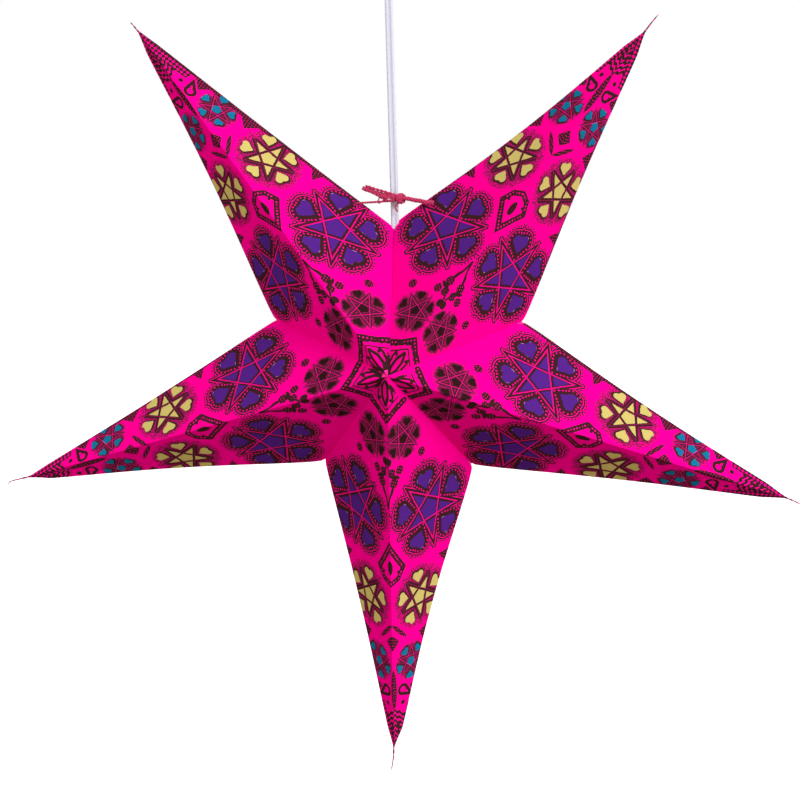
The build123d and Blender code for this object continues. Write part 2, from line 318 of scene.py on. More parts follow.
class PaperStarCard(bpy.types.PropertyGroup):
    """Sizes of the folded card."""

    thickness: length_property("Card", "Thickness of the card", 0.0003)
    waviness: length_property("Waviness", "How far the card swells out of flat", 0.0007)
    wisp_width: length_property("Tip width", "Width of the thin end past each tip", 0.0017)
    hand_fold: FloatProperty(
        name="Hand folding",
        description="Share of the real star's unevenness that the folds take",
        default=1.0,
        min=0,
        max=1,
    )
    rows: IntProperty(name="Rows", description="Rows of points from a tip to the centre", default=72, min=8)
    columns: IntProperty(name="Columns", description="Points across a panel", default=26, min=6)


class PaperStarPrint(bpy.types.PropertyGroup):
    """Colours of the print."""

    paper: colour_property("Paper", "Dyed card", screen(232, 0, 132))
    ink: colour_property("Ink", "Printed outlines", screen(46, 23, 24))
    violet: colour_property("Violet", "Paint of the large rosettes", screen(79, 34, 127))
    yellow: colour_property("Yellow", "Paint of the middle rosettes", screen(198, 184, 104))
    teal: colour_property("Teal", "Paint of the rosettes near the tips", screen(16, 114, 149))
    sliver: colour_property("Sliver", "Pale card beside the paint", screen(170, 120, 175))
    # painted highlight along the outer folded edges of the card
    edge: colour_property("Edge", "Cut and worn edges", screen(250, 70, 140))


class PaperStarTie(bpy.types.PropertyGroup):
    """Sizes and colours of the cotton tie."""

    string: length_property("String", "Diameter of the single string", 0.0016)
    bundle: length_property("Bundle", "Diameter of the strands together", 0.0028)
    colour: colour_property("Cotton", "Dyed cotton", screen(206, 22, 92))
    # painted shade for the grooves between the twisted yarns
    dark: colour_property("Cotton grooves", "Between the twisted yarns", screen(120, 8, 52))


class PaperStarLamp(bpy.types.PropertyGroup):
    """Sizes and colours of the lead, holder, bulb and ceiling rose."""

    lead_width: length_property("Lead width", "Across the flat pair", 0.0062)
    lead_thickness: length_property("Lead thickness", "Through one core", 0.0028)
    lead_web: length_property("Web", "Thickness between the cores", 0.0019)
    sleeve: colour_property("Lead", "Clear sleeve over tinned wire", screen(190, 195, 206))
    plastic: colour_property("Plastic", "White moulded plastic", screen(236, 235, 229))


class PaperStarStudio(bpy.types.PropertyGroup):
    """Light and camera."""

    lens: FloatProperty(name="Lens", description="Focal length in millimetres", default=92.3017)
    key: FloatProperty(name="Key light", description="Strength of the upper right light", default=2.8)
    fill: FloatProperty(name="Fill light", description="Strength of the light all round", default=1.0)
    fill_above: FloatProperty(name="Light above", description="Strength of the overhead light", default=0.4)
    fill_sides: FloatProperty(name="Light aside", description="More light from both sides", default=1.1)
    floor_bounce: FloatProperty(name="Bounce", description="Share of light sent back up", default=0.35)
    floor_drop: length_property("Floor", "Depth of the floor below the ceiling", 2.4)


# Writing material nodes


class Wire:
    """One output of a node. A sum written with it adds its Math nodes to the same tree."""

    def __init__(self, board, socket):
        self.board = board
        self.socket = socket

    def math(self, operation, *values, clamp=False):
        """A Math node on this wire and the values after it."""
        settings = {"operation": operation, "use_clamp": clamp}
        return self.board.add("ShaderNodeMath", settings, dict(enumerate((self, *values))))

    def __add__(self, other):
        return self.math("ADD", other)

    def __sub__(self, other):
        return self.math("SUBTRACT", other)

    def __rsub__(self, other):
        return self.board.add("ShaderNodeMath", {"operation": "SUBTRACT"}, {0: other, 1: self})

    def __mul__(self, other):
        return self.math("MULTIPLY", other)

    def __truediv__(self, other):
        return self.math("DIVIDE", other)

    def __neg__(self):
        return self.math("MULTIPLY", -1.0)

    def __abs__(self):
        return self.math("ABSOLUTE")

    def least(self, *others):
        """The smallest of this wire and the others."""
        found = self
        for other in others:
            found = found.math("MINIMUM", other)
        return found

    def most(self, *others):
        """The largest of this wire and the others."""
        found = self
        for other in others:
            found = found.math("MAXIMUM", other)
        return found

    def within(self, softness):
        """1 where this distance is below zero, fading over the softness."""
        return self.math("MULTIPLY_ADD", -1 / softness, 0.5, clamp=True)

    def times_plus(self, factor, more):
        """This wire times a factor, plus more, in one node."""
        return self.math("MULTIPLY_ADD", factor, more)


class Board:
    """The node tree of a new material or world, its owner, and the ways to add to it."""

    def __init__(self, name, owners="materials"):
        self.owner = getattr(bpy.data, owners).new(name)
        self.owner.use_nodes = True
        self.nodes = self.owner.node_tree.nodes
        self.links = self.owner.node_tree.links
        self.nodes.clear()

    def add(self, kind, settings=None, sockets=None, output=0):
        """A node of this kind: its settings first, then its sockets, each a value or a wire."""
        node = self.nodes.new(kind)
        for key, value in (settings or {}).items():
            setattr(node, key, value)
        for key, value in (sockets or {}).items():
            if isinstance(value, Wire):
                self.links.new(value.socket, node.inputs[key])
            elif hasattr(value, "__len__") and len(node.inputs[key].default_value) == 4:
                node.inputs[key].default_value = (*value[:3], 1.0)
            else:
                node.inputs[key].default_value = value
        return None if output is None else Wire(self, node.outputs[output])

    def vector(self, operation, *values):
        """A Vector Math node; lengths and distances come from its second output."""
        output = 1 if operation in ("LENGTH", "DISTANCE") else 0
        sockets = {0: values[0], "Scale": values[1]} if operation == "SCALE" else dict(enumerate(values))
        return self.add("ShaderNodeVectorMath", {"operation": operation}, sockets, output)

    def parts(self, vector):
        """The three numbers of a vector."""
        split = self.add("ShaderNodeSeparateXYZ", None, {0: vector})
        return [Wire(self, out) for out in split.socket.node.outputs]

    def place(self, vector, spot, angle=0.0, size=(1, 1, 1)):
        """A vector seen from a spot, turned by an angle and divided by a size."""
        sockets = {"Vector": vector, "Location": (*spot, 0)[:3], "Rotation": (0, 0, angle), "Scale": size}
        return self.add("ShaderNodeMapping", {"vector_type": "TEXTURE"}, sockets)

    def mix(self, factor, one, two):
        """Colour one where the factor is 0, two where it is 1."""
        return self.add("ShaderNodeMix", {"data_type": "RGBA"}, {0: factor, 6: one, 7: two}, 2)

    def choose(self, factor, one, two):
        """Vector one where the factor is 0, two where it is 1."""
        return self.add("ShaderNodeMix", {"data_type": "VECTOR"}, {0: factor, 4: one, 5: two}, 1)

    def noise(self, vector, scale, detail=2.0, roughness=0.5, output=0, distortion=0.0):
        """Noise from 0 to 1 (output 0) or as a colour (output 1)."""
        sockets = {
            "Vector": vector,
            "Scale": scale,
            "Detail": detail,
            "Roughness": roughness,
            "Distortion": distortion,
        }
        return self.add("ShaderNodeTexNoise", None, sockets, output)

    def here(self):
        """Place on the piece, in metres."""
        return self.add("ShaderNodeTexCoord", None, None, 3)

    def layout(self, name):
        """The piece's own map of this name."""
        return self.add("ShaderNodeUVMap", {"uv_map": name})

    def bump(self, height, strength, distance):
        """A normal that stands up where the height is large."""
        sockets = {"Strength": strength, "Distance": distance, "Height": height}
        return self.add("ShaderNodeBump", None, sockets)

    def finish(self, **sockets):
        """The surface: one Principled shader with these sockets, underscores for spaces."""
        named = {key.replace("_", " "): value for key, value in sockets.items()}
        return self.close(self.add("ShaderNodeBsdfPrincipled", None, named))

    def close(self, shader):
        """Joins the shader to the output, of a world for a background and of a material for the rest."""
        kind = "World" if shader.socket.node.type == "BACKGROUND" else "Material"
        self.add(f"ShaderNodeOutput{kind}", None, {"Surface": shader}, None)
        return self.owner


# The print


def band(board, spot, start, stop, half_width, bead=0.0, gap=3.0):
    """Distance from a straight stroke with round ends: to the nearest point of its line, less its half width.

    Beads of a set radius and gap stay bare along its middle."""
    run = (stop[0] - start[0], stop[1] - start[1])
    length = math.hypot(*run)
    local = board.place(spot, start, math.atan2(run[1], run[0]))
    nearest = board.vector("MAXIMUM", board.vector("MINIMUM", local, (length, 0, 0)), (0, 0, 0))
    found = board.vector("DISTANCE", local, nearest) - half_width
    if bead:
        # each bead's cell is one gap long and wider than any stroke
        far = 90
        cell = board.vector("WRAP", local, (gap / 2, far, far), (-gap / 2, -far, -far))
        found = found.most(bead - board.vector("LENGTH", cell))
    return found


def strokes(board, spot, points, half_width, bead=0.0, gap=3.0):
    """Distance from a line of straight strokes through the points."""
    found = [band(board, spot, a, b, half_width, bead, gap) for a, b in zip(points, points[1:])]
    return found[0].least(*found[1:])


def disc(board, spot, middle, radius):
    """Distance from a disc."""
    return board.vector("DISTANCE", spot, (*middle, 0)) - radius


def leaf(board, spot, middle, long, short, angle):
    """Distance from an oval, near enough: its stretched radius less one, times its short half."""
    local = board.place(spot, middle, math.radians(angle), (long, short, 1))
    return board.vector("LENGTH", local).times_plus(short, -short)


def drop(board, spot, point, middle, radius):
    """Distance from a teardrop: a disc and the wedge from a point that touches it."""
    run = (middle[0] - point[0], middle[1] - point[1])
    length = math.hypot(*run)
    local = board.place(spot, point, math.atan2(run[1], run[0]))
    x, y, _ = board.parts(local)
    slope = math.asin(radius / length)
    reach = math.sqrt(length**2 - radius**2)
    y = abs(y)
    side = (x * -math.sin(slope)) + y * math.cos(slope)
    along = (x * math.cos(slope)) + (y * math.sin(slope) - reach)
    ball = board.vector("DISTANCE", local, (length, 0, 0)) - radius
    return side.most(along.least(ball))


def heart_shape(x, y):
    """Distance from a heart that points inward: two lobes and the wedge from its point."""
    length = math.hypot(LOBE_ALONG - HEART_POINT, LOBE_ACROSS)
    slope = math.atan2(LOBE_ACROSS, LOBE_ALONG - HEART_POINT) + math.asin(LOBE_RADIUS / length)
    reach = math.sqrt(length**2 - LOBE_RADIUS**2)
    side = x * -math.sin(slope) + (y * math.cos(slope) + HEART_POINT * math.sin(slope))
    along = x * math.cos(slope) + (y * math.sin(slope) - (HEART_POINT * math.cos(slope) + reach))
    rx = x - LOBE_ALONG
    ry = y - LOBE_ACROSS
    return side.most(along.least((rx * rx + ry * ry).math("SQRT") - LOBE_RADIUS))


def star_shape(x, y):
    """Signed distances from the two lines of the star that a folded point can be near."""
    tall = x * math.cos(math.pi / 5)
    wide = y * math.sin(math.pi / 5)
    return tall + (wide - STAR_LINE), tall - (wide + STAR_LINE)


def dotted_ink(board, spot, places):
    """Distance from the dotted shapes: leaves, discs and a diamond at the ridge, and teeth along the edge."""
    ridge_run, ridge_out, run, inward = places
    middle, steepness, reach = DIAMOND
    found = abs(ridge_run - middle) * steepness + (ridge_out - reach)
    for place, half_length, half_width, degrees in DOTTED_LEAVES:
        found = found.least(leaf(board, spot, place, half_length, half_width, degrees))
    for place, radius in DOTTED_DISCS:
        found = found.least(disc(board, spot, place, radius))
    for place, depth, width in EDGE_TEETH:
        found = found.least(abs(run - place) * (depth / width) + (inward - depth))
    for place, width in EDGE_WAVES:
        found = found.least(abs(run - place) * (EDGE_WAVE_DEPTH / width) + (inward - EDGE_WAVE_DEPTH))
    most, least = (SPECK_HALF_GAP, SPECK_HALF_GAP, 1), (-SPECK_HALF_GAP, -SPECK_HALF_GAP, -1)
    cell = board.vector("WRAP", board.place(spot, (0, 0), 0.5), most, least)
    return found.most(SPECK_RADIUS - board.vector("LENGTH", cell))


def full_ink(board, spot):
    """Distance from what is inked in full: chains, leaves, discs, strokes and the outline of a teardrop."""
    found = abs(drop(board, spot, *TEARDROP) + TEARDROP_INSET) - TEARDROP_STROKE
    for points, half_width, bead, gap in CHAINS:
        found = found.least(strokes(board, spot, points, half_width, bead, gap))
    for place, half_length, half_width, degrees in INKED_LEAVES:
        found = found.least(leaf(board, spot, place, half_length, half_width, degrees))
    for place, radius in INKED_DISCS:
        found = found.least(disc(board, spot, place, radius))
    for points, half_width in INKED_STROKES:
        found = found.least(strokes(board, spot, points, half_width))
    return found


def tip_ink(places):
    """Distance from the tip's slanting zigzag bars near the ridge and its checks near the edge."""
    ridge_run, ridge_out, run, inward = places
    bar_gap, bar_half_width, bars_end, bars_from_edge = 2.4, 1.5, 43.0, 2.6
    check_gap, check_reach, checks_end, checks_in = 1.7, 1.95, 46.0, 4.2
    zigzag = abs(ridge_out.math("WRAP", bar_gap, -bar_gap)) * 0.9
    bars = abs((ridge_run + ridge_out * 0.8 + zigzag).math("WRAP", bar_gap, -bar_gap)) - bar_half_width
    bars = bars.most(ridge_run + ridge_out * 0.5 - bars_end, bars_from_edge - inward)
    across_check = abs(inward.math("WRAP", check_gap, -check_gap)) - check_reach
    checks = abs(run.math("WRAP", check_gap, -check_gap)) + across_check
    return bars.least(checks.most(ridge_run - checks_end, inward - checks_in))


def star_print(board):
    """Colour of a half arm and where it is painted.

    All is in millimetres along the ridge from the tip and out from the ridge. Four rosettes share one
    drawing, which is moved, turned and shrunk to the nearest one: five hearts round a five-point star of fine
    lines. Round them stand chains, leaves, discs, strokes and a teardrop."""
    prints = bpy.context.scene.paper_star_print
    mm = board.vector("ABSOLUTE", board.vector("SCALE", board.layout("print"), 1000.0))
    drift = board.vector("SUBTRACT", board.noise(mm, 0.35, 3.0, 0.6, 1), (0.5, 0.5, 0.5))
    spot = board.vector("MULTIPLY", board.vector("ADD", mm, drift), (1, 1, 0))
    grain = board.noise(mm, 1.3, 3.0, 0.6)

    # which rosette is nearest: its middle, its turn, its size and whether its star has painted points
    middle, degrees, size, points = LARGEST_ROSETTE
    manner = (math.radians(degrees), size, points)
    near = {}
    for name, (place, degrees, size, points, around) in SMALLER_ROSETTES.items():
        near[name] = board.vector("DISTANCE", spot, place).math("LESS_THAN", around)
        middle = board.choose(near[name], middle, place)
        manner = board.choose(near[name], manner, (math.radians(degrees), size, points))
    turn, size, with_points = board.parts(manner)
    plain = near["yellow"] + near["teal"] + near["dark"]
    fine = 1.0 - plain
    small = near["teal"] + near["dark"]

    def fifth(where):
        """One fifth of the rosette, folded over itself: x along a heart's middle, y across it."""
        away = board.vector("SUBTRACT", where, middle)
        east, north, _ = board.parts(away)
        far = board.vector("LENGTH", away) / size
        fold = (north.math("ARCTAN2", east) - turn).math("PINGPONG", math.pi / 5)
        return far * fold.math("COSINE"), far * fold.math("SINE"), far

    x, y, far = fifth(spot)
    heart = heart_shape(x, y)
    ring, arm = star_shape(x, y)
    line = abs(ring).least(abs(arm))

    # the paint, laid a little nearer the tip than the ink; where a star's points are bare they are far away
    gap, points_end, nowhere, misprint = 1.6, 23.0, 60.0, (1.0, -0.15, 0)
    paint_x, paint_y, paint_far = fifth(board.vector("ADD", spot, misprint))
    ring_in, arm_in = star_shape(paint_x, paint_y)
    inside_arm = (arm_in + gap).most(gap - ring_in, paint_far - points_end) + (1.0 - with_points) * nowhere
    inside_ring = (arm_in + gap).most(ring_in + gap)
    painted_heart = heart_shape(paint_x, paint_y)
    paint = painted_heart.least(inside_arm, inside_ring)

    # the largest rosettes: dark ground, its pale lines and the beads in it and round it
    round_hearts, round_arms, ground_end = 4.9, 2.3, 36.0
    bead_line, inner_bead, outer_bead = 3.3, 0.82, 0.68
    pale_half_width, pale_end, outline_out, outline_half_width = 0.55, 33.0, 1.5, 0.5
    ground = (heart - round_hearts).least((arm - round_arms).most(far - ground_end))
    past_middle = x - HEART_MIDDLE
    swing = y.math("ARCTAN2", past_middle)
    round_heart = (past_middle * past_middle + y * y).math("SQRT")

    def beads(count, distance, radius):
        """Beads a set number to a heart, at a set distance from an outline."""
        cell = (swing * (count / math.tau)).math("FRACT") - 0.5
        step = cell * round_heart * (math.tau / count)
        return (step * step + distance * distance).math("SQRT") - radius

    inner_beads = beads(21, heart - bead_line, inner_bead)
    outer_beads = beads(34, ground - bead_line, outer_bead)
    pale_line = (line - pale_half_width).most(far - pale_end)
    outline = abs(ground - outline_out) - outline_half_width
    dark_fine = ground.most(-inner_beads, -pale_line).least(outline, outer_beads)
    rosette_fine = (dark_fine - 0.12).within(0.3) * fine

    # the smaller rosettes: bold lines round the paint, and a stippled halo that is paler outside
    bold_line, bold_heart, bold_ring, bold_end = 3.2, 1.5, 0.8, 30.5
    halo_heart, halo_arm, halo_middle, halo_end, halo_rim, yellow_rim = 4.5, 2.6, 28.5, 35.0, 2.6, 1.6
    blotch = board.noise(mm, 0.85, 2.0, 0.5)
    stipple = (blotch - 0.46).math("MULTIPLY", 14.0, clamp=True)
    not_dark = 1.0 - near["dark"]
    round_paint = (heart - not_dark * bold_heart).least(inside_ring - not_dark * bold_ring)
    inked = (line - bold_line).most(far - bold_end).least(round_paint)
    filled = (heart - halo_heart).least(arm - halo_arm).most(far - halo_end).least(far - halo_middle)
    halo = filled.within(1.0) * (stipple * 0.3 + (small * 0.14 + 0.5))
    halo_edge = (filled - (near["yellow"] * yellow_rim + halo_rim)).within(1.5)
    halo = halo.most(halo_edge * stipple * (near["yellow"] * 0.4 + 0.5))
    rosette_soft = (inked.within(0.6) * (stipple * 0.02 + 0.98)).most(halo)
    pale = (line - (small * 0.45 + 0.2)).within(0.4) * (small * 0.3 + 0.45)
    rosette_soft = rosette_soft * (1.0 - pale) * plain

    # round the rosettes, by the place along the ridge and out from it, along the edge and in from it
    run, rise, _ = board.parts(board.place(spot, (0, 0), EDGE_TURN))
    places = (*board.parts(spot)[:2], run, -rise)
    between = dotted_ink(board, spot, places).least(full_ink(board, spot), tip_ink(places))
    ink = between.within(0.35).most(rosette_fine, rosette_soft)
    fibre = board.noise(mm, 2.4, 4.0, 0.65)
    ink = ink * fibre.times_plus(0.6, 0.74).least(1.0)

    # the paint's ragged rim, its colour and slivers of pale card beside it
    painted = (paint + near["dark"] * 0.5 + (grain - 0.5) * 1.3).within(0.3)
    patchy = (board.noise(mm, 0.22, 2.0, 0.5) - 0.56).math("MULTIPLY", 9.0, clamp=True)
    bare = (abs(painted_heart - 0.1) - 0.22).within(0.3) * patchy * fine
    colour = board.mix(near["yellow"], prints.violet, prints.yellow)
    colour = board.mix(near["teal"], colour, prints.teal)
    colour = board.mix(near["dark"], colour, prints.ink)

    # the card: mottled, with a painted highlight along its outer edge, then the ink and the paint on it
    mottle = board.noise(mm, 0.06, 3.0, 0.55)
    paper = board.mix(mottle.times_plus(1.6, -0.45), prints.paper, shaded(prints.paper, 0.9))
    sheet = board.place(board.vector("SCALE", board.layout("sheet"), 1000.0), (0, 0), EDGE_TURN)
    # painted highlight: a thin pale line along the outer folded edge, patchy with the fibre
    highlit = (-board.parts(sheet)[1] - 0.45).within(0.9) * (fibre * 1.2)
    paper = board.mix(highlit, paper, prints.edge)
    shade = board.mix(fibre * 0.6, prints.ink, shaded(prints.ink, 1.9))
    paper = board.mix(ink, paper, shade)
    paper = board.mix(painted, paper, board.mix(grain * 0.35, colour, (0.0, 0.0, 0.0)))
    paper = board.mix(bare, paper, prints.sliver)
    return paper, painted


def printed_card():
    """Dyed card with its print, all without gloss: the paint lies a little thicker and smoother."""
    board = Board("printed_card")
    colour, painted = star_print(board)
    fibre = board.noise(board.here(), 1500.0, 3.0, 0.6)
    swell = board.noise(board.here(), 90.0, 2.0, 0.5)
    height = (fibre * 0.35 + swell * 0.8) + painted * 0.5
    rough = (fibre * 0.12 + 0.6) - painted * 0.12
    normal = board.bump(height, 0.35, 0.0004)
    return board.finish(Base_Color=colour, Roughness=rough, Normal=normal, Specular_IOR_Level=0.0)


def plain_card():
    """Inside of the dyed card: pink with fine fibres and paler clouds."""
    prints = bpy.context.scene.paper_star_print
    board = Board("plain_card")
    here = board.here()
    fibre = board.noise(here, 1500.0, 3.0, 0.6)
    cloud = board.noise(here, 35.0, 4.0, 0.6)
    pale = tuple(min(1.0, c + 0.12) for c in prints.paper)
    colour = board.mix(cloud.times_plus(1.4, -0.35), prints.paper, pale)
    colour = board.mix(fibre.times_plus(0.4, -0.05), colour, shaded(prints.paper, 0.8))
    normal = board.bump(fibre * 0.5 + cloud * 0.6, 0.3, 0.0003)
    return board.finish(
        Base_Color=colour, Roughness=fibre * 0.15 + 0.62, Normal=normal, Specular_IOR_Level=0.0
    )


# Meshes


def unit(vectors):
    """One vector or several, each at length one."""
    return vectors / np.linalg.norm(vectors, axis=-1, keepdims=True)


def square_to(direction, vector):
    """What of a vector is at right angles to a direction, at length one."""
    return unit(vector - direction * np.dot(vector, direction))


def distances(line):
    """How far along a line each of its points is."""
    return np.concatenate([[0], np.cumsum(np.linalg.norm(np.diff(line, axis=0), axis=1))])


def grid_map(along, across):
    """Map of a grid of points, from numbers that broadcast to its rows and columns."""
    return np.stack(np.broadcast_arrays(along, across), -1).reshape(-1, 2)


def add_layout(mesh, name, values):
    """Adds a map to a mesh, given for each of its points."""
    loops = np.empty(len(mesh.loops), dtype=np.int32)
    mesh.loops.foreach_get("vertex_index", loops)
    flat = np.asarray(values, float)[loops].ravel()
    mesh.uv_layers.new(name=name).data.foreach_set("uv", flat)


def mesh_piece(name, points, faces, material, layout=None, layout_name="print", smooth=True):
    """A piece from arrays of points and faces, with a map given for each point where there is one."""
    mesh = bpy.data.meshes.new(name)
    faces = faces.tolist() if isinstance(faces, np.ndarray) else faces
    mesh.from_pydata(np.reshape(points, (-1, 3)).astype(float).tolist(), [], faces)
    if layout is not None:
        add_layout(mesh, layout_name, layout)
    if smooth:
        mesh.shade_smooth()
    mesh.update()
    piece = bpy.data.objects.new(name, mesh)
    bpy.context.scene.collection.objects.link(piece)
    for one in material if isinstance(material, (list, tuple)) else [material]:
        mesh.materials.append(one)
    return piece


def grid_faces(rows, columns, closed=False):
    """Four-sided faces of a grid of points; closed joins the last column to the first."""
    count = columns if closed else columns - 1
    row, column = np.meshgrid(np.arange(rows - 1), np.arange(count), indexing="ij")
    after = (column + 1) % columns
    corners = [row * columns + column, row * columns + after]
    corners += [(row + 1) * columns + after, (row + 1) * columns + column]
    return np.stack(corners, axis=-1).reshape(-1, 4)


def outward(angle):
    """Direction in the star's middle plane, turned from straight down towards the right."""
    turned = angle - LEAN
    return np.array([math.sin(turned), 0.0, -math.cos(turned)])


def shifted(point, shift, share):
    """A fold's end moved by its share of (x, z)."""
    return point + share * np.array([shift[0], 0.0, shift[1]])


def panel_name(arm, side, face):
    """Name of a panel, as the CAD model has it."""
    if arm == "bottom":
        half = "right" if side > 0 else "left"
    else:
        half = "upper" if side * ARMS[arm] > 0 else "lower"
    return f"{arm}_{'front' if face < 0 else 'back'}_{half}"


def panel_corners(arm, side, face, share):
    """Tip, centre and inner corner of a panel, with the unevenness of hand folding."""
    number = ARMS[arm]
    tip = shifted(CENTRE + outward(number * STEP) * TIP_RADIUS, TIP_SHIFT[arm], share)
    middle = CENTRE + np.array([0, face * DEPTH / 2, 0])
    middle = shifted(middle, FRONT_SHIFT, share) if face < 0 else middle
    corner = CENTRE + outward((number + side / 2) * STEP) * CORNER_RADIUS
    corner = shifted(corner, CORNER_SHIFT[2 * number + side], share)
    return tip, middle, corner


def panel_normal(tip, middle, corner, face):
    """Direction out of the star at a panel."""
    normal = unit(np.cross(middle - tip, corner - tip))
    return normal if normal[1] * face > 0 else -normal


def edge_bend(arm, side, tip, corner, a, b):
    """How far the outer edge's bend moves a point of a panel.

    It goes inward, level with the star's middle plane, by p sin(pi a)^0.4 + q sin(pi a), times b cubed."""
    share = bpy.context.scene.paper_star_card.hand_fold
    inward = unit(square_to(unit(corner - tip), CENTRE - tip) * (1, 0, 1))
    ends, half_way = EDGE_BENDS[(ARMS[arm], side)]
    along_edge = np.clip(np.sin(np.pi * a), 0, 1)
    bow = ends * along_edge**0.4 * np.clip(a / 0.08, 0, 1) + half_way * along_edge
    return (share * bow * b**3)[..., None] * inward


def make_panel(arm, side, face, materials):
    """One card triangle.

    A point is tip + a((1-b)(centre - tip) + b(corner - tip)), with a from the tip to the valley and b from
    the ridge to the outer edge. The outer edge bends by edge_bend, the middle swells by a few low waves, and
    the inside lies a card's thickness in, less towards the creases, where both sides meet."""
    card = bpy.context.scene.paper_star_card
    tip, middle, corner = panel_corners(arm, side, face, card.hand_fold)
    rows, columns = card.rows, card.columns
    a = np.linspace(0, 1, rows)[:, None] * np.ones((1, columns))
    b = np.ones((rows, 1)) * np.linspace(0, 1, columns)[None, :]
    a = TIP_START_SHARE + (1 - TIP_START_SHARE) * a
    outside = tip + a[..., None] * ((1 - b)[..., None] * (middle - tip) + b[..., None] * (corner - tip))
    normal = panel_normal(tip, middle, corner, face)
    outside = outside + edge_bend(arm, side, tip, corner, a, b)
    seed = ARMS[arm] * 1.7 + side * 0.9 + face * 2.3
    hollow = 4 * b * (1 - b) * np.sin(np.pi * a) ** 0.8
    swell = sum(high * np.sin(run * a + rise * b + start * seed) for high, run, rise, start in SWELLS)
    outside = outside + (card.waviness * hollow * swell * a)[..., None] * normal
    if face < 0 and (ARMS[arm], side) in SEAM_BENDS:
        near_seam = card.hand_fold * a**10
        outside[..., 0] += np.interp(b, *SEAM_BENDS[(ARMS[arm], side)]) * near_seam
        outside[..., 1] += SEAM_BACKWARD * side * b * near_seam
    reach = np.linalg.norm(middle - tip)
    height = np.linalg.norm(np.cross(middle - tip, corner - tip)) / reach
    depth = np.minimum.reduce(
        [
            np.full_like(a, card.thickness),
            a * b * height * RIDGE_THINNING,
            a * (1 - b) * height * EDGE_THINNING,
            (1 - a) * reach * VALLEY_THINNING,
            (a - TIP_START_SHARE) * reach,
        ]
    )
    inside = outside - depth[..., None] * normal
    u = a * ((1 - b) * RIDGE + b * CORNER_RUN)
    v = a * b * CORNER_RISE
    sheet = np.concatenate([grid_map(u, v)] * 2)
    shift_u, shift_v, more_u, more_v = PRINT_SLIPS[ARMS[arm]] if face < 0 else BACK_SLIP
    past_middle = u - SLIP_MIDDLE
    v = v + side * (shift_v * 0.001 + more_v * past_middle)
    u = u - (shift_u * 0.001 + more_u * past_middle)
    faces = grid_faces(rows, columns)
    layout = np.concatenate([grid_map(u, v)] * 2)
    turned = np.cross(outside[1, 1] - outside[0, 0], outside[0, 1] - outside[0, 0])
    both = [faces, faces[:, ::-1] + rows * columns]
    if np.dot(turned, normal) > 0:
        both = [faces[:, ::-1], faces + rows * columns]
    name = panel_name(arm, side, face)
    piece = mesh_piece(f"card_{name}", [outside, inside], np.concatenate(both), materials, layout)
    add_layout(piece.data, "sheet", sheet)
    index = np.repeat([0, 1], len(faces)).astype(np.int32)
    piece.data.polygons.foreach_set("material_index", index)
    shape = bmesh.new()
    shape.from_mesh(piece.data)
    bmesh.ops.remove_doubles(shape, verts=shape.verts, dist=2e-6)
    for line in shape.edges:
        line.smooth = len({beside.material_index for beside in line.link_faces}) == 1
    shape.to_mesh(piece.data)
    shape.free()
    return piece, name, (tip, middle, corner, normal)


def cut_hole(piece, spot, direction):
    """Cuts a string hole through a piece, at a spot and in a direction."""
    bpy.ops.mesh.primitive_cylinder_add(vertices=28, radius=HOLE_RADIUS, depth=0.01, location=spot)
    cutter = bpy.context.object
    cutter.rotation_euler = Vector(direction).to_track_quat("Z", "Y").to_euler()
    cut = piece.modifiers.new("hole", "BOOLEAN")
    cut.object = cutter
    cut.operation = "DIFFERENCE"
    cut.solver = "EXACT"
    bpy.context.view_layer.update()
    done = bpy.data.meshes.new_from_object(piece.evaluated_get(bpy.context.evaluated_depsgraph_get()))
    piece.modifiers.clear()
    old = piece.data
    piece.data = done
    bpy.data.meshes.remove(old)
    bpy.data.objects.remove(cutter)


def sweep_frames(path):
    """Directions along a path and two across it, carried from point to point without twist."""
    along = unit(np.gradient(path, axis=0))
    first = np.cross(along[0], [0, 1, 0])
    if np.linalg.norm(first) < 0.3:
        first = np.cross(along[0], [0, 0, 1])
    sides = [unit(first)]
    for direction in along[1:]:
        sides.append(square_to(direction, sides[-1]))
    sides = np.array(sides)
    return along, sides, np.cross(along, sides)


def capped(rows, columns):
    """Faces of a tube with both its ends closed by one face each."""
    faces = grid_faces(rows, columns, closed=True).tolist()
    last = (rows - 1) * columns
    return faces + [list(range(columns))[::-1], [last + k for k in range(columns)]]


def yarns(name, path, count, radius, spread, turns, material):
    """A piece of yarns that wind round a path.

    A yarn's middle is path + spread (cos t, sin t) across it, t growing evenly along the path, and each yarn
    is a round tube on its own line."""
    _, one, two = sweep_frames(path)
    share = np.linspace(0, 1, len(path))
    angle = np.linspace(0, math.tau, YARN_STEPS, endpoint=False)
    taper = np.sqrt(np.clip(np.minimum(share, 1 - share) * YARN_SWELLING, YARN_END, 1))
    points, faces, maps = [], [], []
    for k in range(count):
        t = math.tau * (turns * share + k / count)
        wave = spread * (1 + YARN_UNEVENNESS * np.sin(17 * share + 5 * k))
        line = path + (wave * np.cos(t))[:, None] * one + (wave * np.sin(t))[:, None] * two
        _, side, up = sweep_frames(line)
        ring = np.cos(angle)[None, :, None] * side[:, None] + np.sin(angle)[None, :, None] * up[:, None]
        points.append(line[:, None] + radius * taper[:, None, None] * ring)
        maps.append(grid_map(distances(line)[:, None], angle[None, :] * radius))
        offset = k * len(path) * YARN_STEPS
        faces += [[v + offset for v in face] for face in capped(len(path), YARN_STEPS)]
    return mesh_piece(name, points, faces, material, np.concatenate(maps), "wind")


